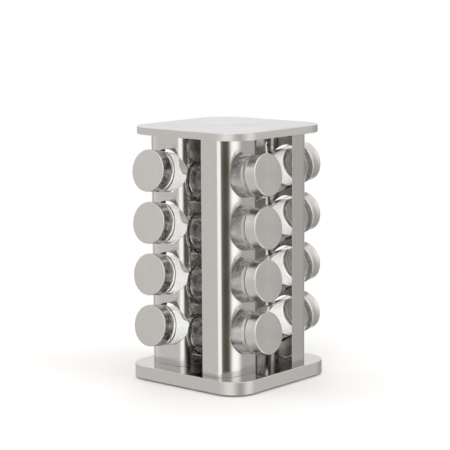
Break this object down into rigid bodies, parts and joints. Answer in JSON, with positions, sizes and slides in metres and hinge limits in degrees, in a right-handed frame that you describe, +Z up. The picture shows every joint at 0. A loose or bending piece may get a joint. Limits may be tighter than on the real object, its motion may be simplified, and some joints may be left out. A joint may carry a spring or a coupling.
{
  "type": "spice carousel",
  "caption": "Square revolving rack of bent steel columns holding tilted glass spice jars with round steel caps on a ball-bearing base.",
  "frame": {"origin": "centre of the square rack, on the surface that the rubber feet stand on", "axes": "+Z up along the turning axis; +X square to the face of jar row b, +Y square to row c"},
  "size_m": [0.207, 0.207, 0.3157],
  "materials": {
    "brushed_steel": "satin brushed stainless sheet",
    "cap_steel": "satin brushed stainless cap",
    "zinc_steel": "bright zinc-plated steel",
    "screw_steel": "plated pan-head screws",
    "bearing_steel": "polished balls",
    "jar_glass": "clear pressed glass",
    "black_plastic": "moulded plastic",
    "pad_rubber": "matt rubber"
  },
  "bodies": {
    "foot": {"foot_pads": "pad_rubber", "swivel_lower_race": "black_plastic", "bearing_balls": "bearing_steel", "ball_cage": "black_plastic", "swivel_washer": "zinc_steel", "swivel_centre_screw": "screw_steel"},
    "rotor": {"base_tray": "brushed_steel", "base_stiffener": "zinc_steel", "top_plate": "brushed_steel", "top_stiffener": "zinc_steel", "top_screws": "screw_steel", "base_screws": "screw_steel", "swivel_screws": "screw_steel", "swivel_upper_race": "black_plastic", "column_panel_a": "brushed_steel", "column_panel_b": "brushed_steel", "column_panel_c": "brushed_steel", "column_panel_d": "brushed_steel"},
    "jar_a1": {"jar_a1": "jar_glass"},
    "cap_a1": {"cap_a1": "cap_steel"},
    "jar_a2": {"jar_a2": "jar_glass"},
    "cap_a2": {"cap_a2": "cap_steel"},
    "jar_a3": {"jar_a3": "jar_glass"},
    "cap_a3": {"cap_a3": "cap_steel"},
    "jar_a4": {"jar_a4": "jar_glass"},
    "cap_a4": {"cap_a4": "cap_steel"},
    "jar_b1": {"jar_b1": "jar_glass"},
    "cap_b1": {"cap_b1": "cap_steel"},
    "jar_b2": {"jar_b2": "jar_glass"},
    "cap_b2": {"cap_b2": "cap_steel"},
    "jar_b3": {"jar_b3": "jar_glass"},
    "cap_b3": {"cap_b3": "cap_steel"},
    "jar_b4": {"jar_b4": "jar_glass"},
    "cap_b4": {"cap_b4": "cap_steel"},
    "jar_c1": {"jar_c1": "jar_glass"},
    "cap_c1": {"cap_c1": "cap_steel"},
    "jar_c2": {"jar_c2": "jar_glass"},
    "cap_c2": {"cap_c2": "cap_steel"},
    "jar_c3": {"jar_c3": "jar_glass"},
    "cap_c3": {"cap_c3": "cap_steel"},
    "jar_c4": {"jar_c4": "jar_glass"},
    "cap_c4": {"cap_c4": "cap_steel"},
    "jar_d1": {"jar_d1": "jar_glass"},
    "cap_d1": {"cap_d1": "cap_steel"},
    "jar_d2": {"jar_d2": "jar_glass"},
    "cap_d2": {"cap_d2": "cap_steel"},
    "jar_d3": {"jar_d3": "jar_glass"},
    "cap_d3": {"cap_d3": "cap_steel"},
    "jar_d4": {"jar_d4": "jar_glass"},
    "cap_d4": {"cap_d4": "cap_steel"}
  },
  "joints": [
    {"name": "carousel_spin", "type": "hinge", "parent": "foot", "child": "rotor", "pos_m": [0, 0, 0], "axis": [0, 0, 1], "continuous": true},
    {"name": "jar_a1_slide", "type": "slide", "parent": "rotor", "child": "jar_a1", "axis": [0, -0.989, 0.1478], "range_m": [0, 0.12]},
    {"name": "cap_a1_lift", "type": "slide", "parent": "jar_a1", "child": "cap_a1", "axis": [0, -0.989, 0.1478], "range_m": [0, 0.04]},
    {"name": "jar_a2_slide", "type": "slide", "parent": "rotor", "child": "jar_a2", "axis": [0, -0.989, 0.1478], "range_m": [0, 0.12]},
    {"name": "cap_a2_lift", "type": "slide", "parent": "jar_a2", "child": "cap_a2", "axis": [0, -0.989, 0.1478], "range_m": [0, 0.04]},
    {"name": "jar_a3_slide", "type": "slide", "parent": "rotor", "child": "jar_a3", "axis": [0, -0.989, 0.1478], "range_m": [0, 0.12]},
    {"name": "cap_a3_lift", "type": "slide", "parent": "jar_a3", "child": "cap_a3", "axis": [0, -0.989, 0.1478], "range_m": [0, 0.04]},
    {"name": "jar_a4_slide", "type": "slide", "parent": "rotor", "child": "jar_a4", "axis": [0, -0.989, 0.1478], "range_m": [0, 0.12]},
    {"name": "cap_a4_lift", "type": "slide", "parent": "jar_a4", "child": "cap_a4", "axis": [0, -0.989, 0.1478], "range_m": [0, 0.04]},
    {"name": "jar_b1_slide", "type": "slide", "parent": "rotor", "child": "jar_b1", "axis": [0.989, 0, 0.1478], "range_m": [0, 0.12]},
    {"name": "cap_b1_lift", "type": "slide", "parent": "jar_b1", "child": "cap_b1", "axis": [0.989, 0, 0.1478], "range_m": [0, 0.04]},
    {"name": "jar_b2_slide", "type": "slide", "parent": "rotor", "child": "jar_b2", "axis": [0.989, 0, 0.1478], "range_m": [0, 0.12]},
    {"name": "cap_b2_lift", "type": "slide", "parent": "jar_b2", "child": "cap_b2", "axis": [0.989, 0, 0.1478], "range_m": [0, 0.04]},
    {"name": "jar_b3_slide", "type": "slide", "parent": "rotor", "child": "jar_b3", "axis": [0.989, 0, 0.1478], "range_m": [0, 0.12]},
    {"name": "cap_b3_lift", "type": "slide", "parent": "jar_b3", "child": "cap_b3", "axis": [0.989, 0, 0.1478], "range_m": [0, 0.04]},
    {"name": "jar_b4_slide", "type": "slide", "parent": "rotor", "child": "jar_b4", "axis": [0.989, 0, 0.1478], "range_m": [0, 0.12]},
    {"name": "cap_b4_lift", "type": "slide", "parent": "jar_b4", "child": "cap_b4", "axis": [0.989, 0, 0.1478], "range_m": [0, 0.04]},
    {"name": "jar_c1_slide", "type": "slide", "parent": "rotor", "child": "jar_c1", "axis": [0, 0.989, 0.1478], "range_m": [0, 0.12]},
    {"name": "cap_c1_lift", "type": "slide", "parent": "jar_c1", "child": "cap_c1", "axis": [0, 0.989, 0.1478], "range_m": [0, 0.04]},
    {"name": "jar_c2_slide", "type": "slide", "parent": "rotor", "child": "jar_c2", "axis": [0, 0.989, 0.1478], "range_m": [0, 0.12]},
    {"name": "cap_c2_lift", "type": "slide", "parent": "jar_c2", "child": "cap_c2", "axis": [0, 0.989, 0.1478], "range_m": [0, 0.04]},
    {"name": "jar_c3_slide", "type": "slide", "parent": "rotor", "child": "jar_c3", "axis": [0, 0.989, 0.1478], "range_m": [0, 0.12]},
    {"name": "cap_c3_lift", "type": "slide", "parent": "jar_c3", "child": "cap_c3", "axis": [0, 0.989, 0.1478], "range_m": [0, 0.04]},
    {"name": "jar_c4_slide", "type": "slide", "parent": "rotor", "child": "jar_c4", "axis": [0, 0.989, 0.1478], "range_m": [0, 0.12]},
    {"name": "cap_c4_lift", "type": "slide", "parent": "jar_c4", "child": "cap_c4", "axis": [0, 0.989, 0.1478], "range_m": [0, 0.04]},
    {"name": "jar_d1_slide", "type": "slide", "parent": "rotor", "child": "jar_d1", "axis": [-0.989, 0, 0.1478], "range_m": [0, 0.12]},
    {"name": "cap_d1_lift", "type": "slide", "parent": "jar_d1", "child": "cap_d1", "axis": [-0.989, 0, 0.1478], "range_m": [0, 0.04]},
    {"name": "jar_d2_slide", "type": "slide", "parent": "rotor", "child": "jar_d2", "axis": [-0.989, 0, 0.1478], "range_m": [0, 0.12]},
    {"name": "cap_d2_lift", "type": "slide", "parent": "jar_d2", "child": "cap_d2", "axis": [-0.989, 0, 0.1478], "range_m": [0, 0.04]},
    {"name": "jar_d3_slide", "type": "slide", "parent": "rotor", "child": "jar_d3", "axis": [-0.989, 0, 0.1478], "range_m": [0, 0.12]},
    {"name": "cap_d3_lift", "type": "slide", "parent": "jar_d3", "child": "cap_d3", "axis": [-0.989, 0, 0.1478], "range_m": [0, 0.04]},
    {"name": "jar_d4_slide", "type": "slide", "parent": "rotor", "child": "jar_d4", "axis": [-0.989, 0, 0.1478], "range_m": [0, 0.12]},
    {"name": "cap_d4_lift", "type": "slide", "parent": "jar_d4", "child": "cap_d4", "axis": [-0.989, 0, 0.1478], "range_m": [0, 0.04]}
  ]
}
